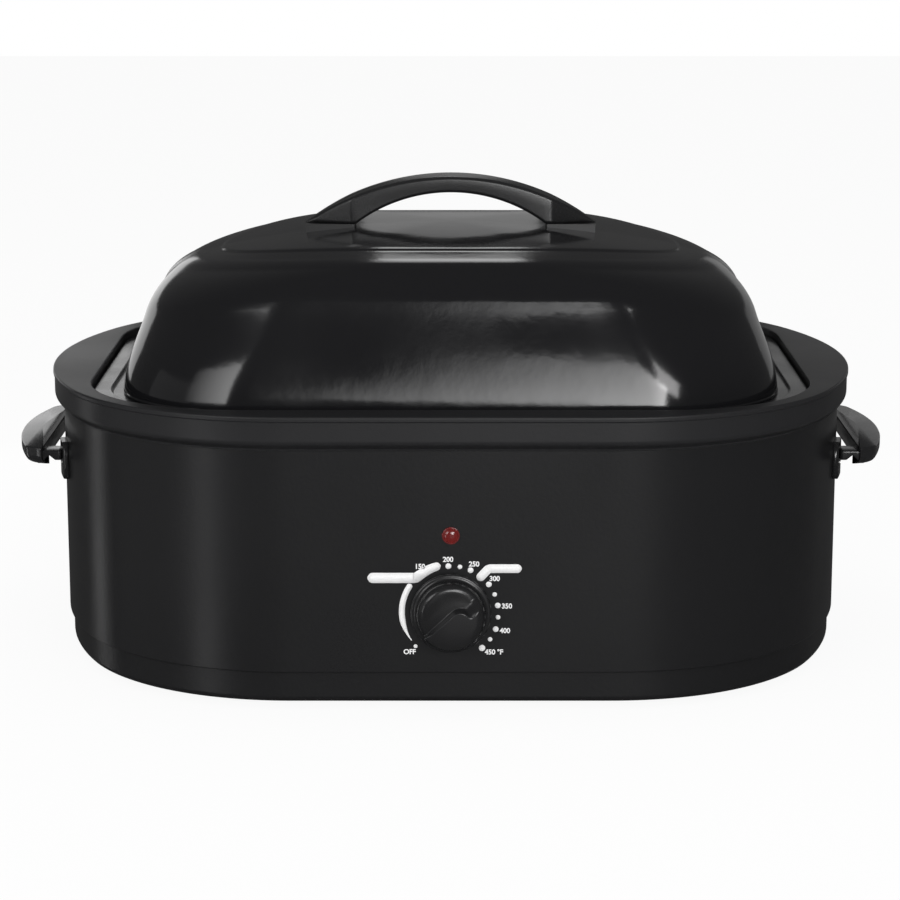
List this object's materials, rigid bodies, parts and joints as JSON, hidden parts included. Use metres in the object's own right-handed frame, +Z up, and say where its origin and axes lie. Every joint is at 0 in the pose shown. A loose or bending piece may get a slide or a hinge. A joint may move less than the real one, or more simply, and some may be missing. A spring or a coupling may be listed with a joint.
{
  "type": "electric roaster oven",
  "caption": "Oval countertop roaster oven with a heated well, lift-out enamelled pan, wire rack, lift-off domed lid with arched handle, side handles and a front dial with pilot lamp.",
  "frame": {"origin": "on the table, under the middle of the whole oven's box, knob included", "axes": "+X along the oven to the right as seen from the front, +Y to the back, +Z up; the knob faces -Y"},
  "size_m": [0.6114, 0.455, 0.3267],
  "materials": {
    "body_paint": "satin black stove paint",
    "collar_paint": "satin black stove paint",
    "base_paint": "satin black stove paint",
    "foot_rubber": "matte",
    "plated_steel": "zinc plated",
    "well_steel": "aluminised, slightly heat-stained",
    "glass_wool": "fibrous",
    "heater_tape": "woven glass-fibre heater tape",
    "white_ceramic": "matte",
    "brass": "plain",
    "red_lens": "translucent red, polished",
    "lamp_glass": "clear",
    "gland_rubber": "matte",
    "handle_plastic": "black moulded plastic, satin",
    "knob_plastic": "black moulded plastic, glossy",
    "shaft_steel": "turned",
    "pan_enamel": "glossy black enamel",
    "rack_chrome": "polished",
    "lid_enamel": "glossy black enamel",
    "lid_handle_plastic": "black moulded plastic, satin"
  },
  "bodies": {
    "housing": {"body_shell": "body_paint", "rim_collar": "collar_paint", "base_tray": "base_paint", "rubber_feet": "foot_rubber", "foot_screws": "plated_steel", "heating_well": "well_steel", "tie_stud": "plated_steel", "tie_nut": "plated_steel", "insulation_blanket": "glass_wool", "heater_bands": "heater_tape", "thermostat_body": "white_ceramic", "thermostat_bracket": "plated_steel", "thermostat_screws": "plated_steel", "terminal_block": "white_ceramic", "terminal_screws": "brass", "indicator_lens": "red_lens", "lens_retainer": "plated_steel", "lamp_bulb": "lamp_glass", "cord_gland": "gland_rubber", "side_handle_left": "handle_plastic", "side_handle_right": "handle_plastic", "side_handle_screws": "plated_steel"},
    "knob": {"control_knob": "knob_plastic", "thermostat_shaft": "shaft_steel"},
    "pan": {"roasting_pan": "pan_enamel"},
    "rack": {"rack_frame": "rack_chrome", "rack_cross_wires": "rack_chrome", "rack_handles": "rack_chrome", "rack_feet": "rack_chrome"},
    "lid": {"lid_shell": "lid_enamel", "lid_handle": "lid_handle_plastic", "lid_handle_pads": "lid_handle_plastic", "lid_handle_inserts": "brass", "lid_handle_screws": "plated_steel"}
  },
  "joints": [
    {"name": "knob_turn", "type": "hinge", "parent": "housing", "child": "knob", "pos_m": [0, -0.2055, 0.0665], "axis": [0, 1, 0], "range_deg": [0, 271]},
    {"name": "pan_lift", "type": "slide", "parent": "housing", "child": "pan", "axis": [0, 0, 1], "range_m": [0, 0.19]},
    {"name": "rack_lift", "type": "slide", "parent": "pan", "child": "rack", "axis": [0, 0, 1], "range_m": [0, 0.18]},
    {"name": "lid_lift", "type": "slide", "parent": "rack", "child": "lid", "axis": [0, 0, 1], "range_m": [0, 0.15]}
  ]
}
